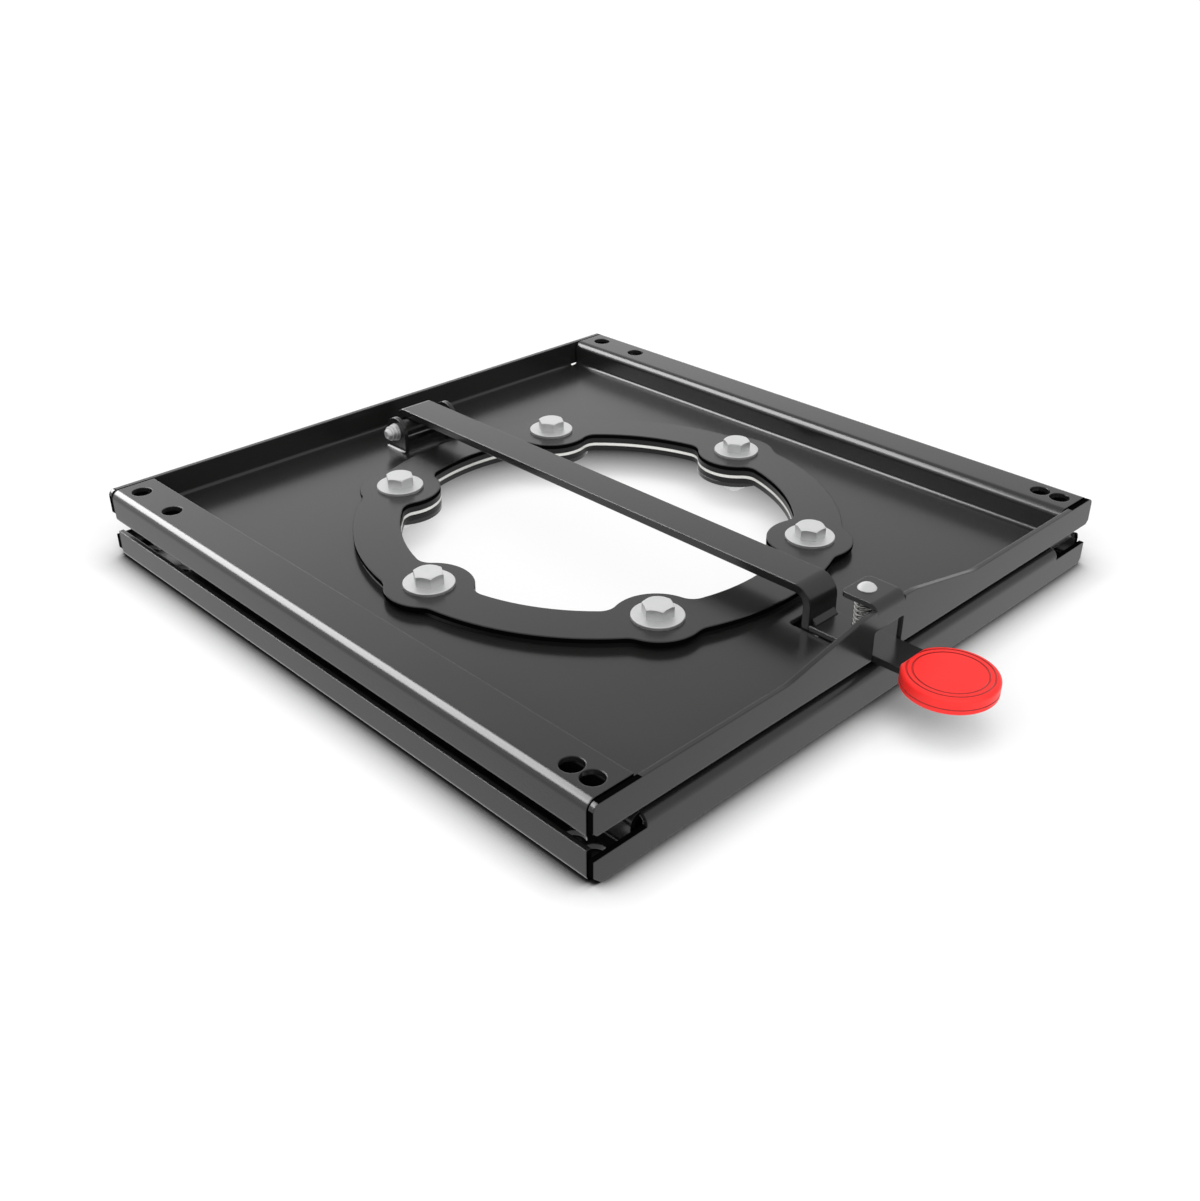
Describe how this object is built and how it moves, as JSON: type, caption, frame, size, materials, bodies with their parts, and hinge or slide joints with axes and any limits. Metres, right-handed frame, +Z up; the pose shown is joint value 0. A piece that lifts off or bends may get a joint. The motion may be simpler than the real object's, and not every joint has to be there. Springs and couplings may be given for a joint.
{
  "type": "swivel seat base",
  "caption": "Flat folded-steel swivel base for a camper seat: upper seat tray turns on a lower floor tray by a bolted slide ring and is held by a sprung lock lever with a round red handle.",
  "frame": {"origin": "on the swivel axis at floor level, the centre of the four floor fixing holes", "axes": "+Z up along the swivel axis, -Y towards the red handle, -X towards the rail that is folded inward"},
  "size_m": [0.43, 0.5005, 0.063],
  "materials": {
    "black_coat": "satin-gloss black coat on steel",
    "slide_polymer": "smooth black bearing polymer",
    "hub_polymer": "natural bearing polymer",
    "zinc": "bright zinc plate",
    "spring_wire": "bright drawn wire",
    "red_plastic": "moulded red plastic"
  },
  "bodies": {
    "base": {"lower_tray": "black_coat", "clamp_ring": "black_coat", "upper_slide_ring": "slide_polymer", "hub_ring": "hub_polymer", "lower_slide_ring": "slide_polymer", "ring_bolts": "zinc", "ring_washers": "zinc", "spacer_bushes": "zinc", "lower_washers": "zinc", "ring_nuts": "zinc"},
    "turntable": {"upper_tray": "black_coat", "pivot_bolt": "zinc", "pivot_nut": "zinc", "pivot_washers": "zinc", "spring_pin": "zinc", "spring_seat": "zinc", "pin_clip": "zinc", "return_spring": "spring_wire"},
    "lever": {"lock_lever": "black_coat", "handle_arm": "black_coat", "weld_bead": "black_coat", "pivot_sleeve": "black_coat", "handle_knob": "red_plastic", "knob_screws": "zinc"}
  },
  "joints": [
    {"name": "swivel", "type": "hinge", "parent": "base", "child": "turntable", "pos_m": [0, 0, 0.0255], "axis": [0, 0, 1], "range_deg": [-180, 180]},
    {"name": "lock_lift", "type": "hinge", "parent": "turntable", "child": "lever", "pos_m": [0, 0.177, 0.04], "axis": [-1, 0, 0], "range_deg": [-0.6, 1.6], "stiffness_Nm_per_rad": 250, "springref_deg": -0.6, "deforming": ["return_spring"]}
  ]
}
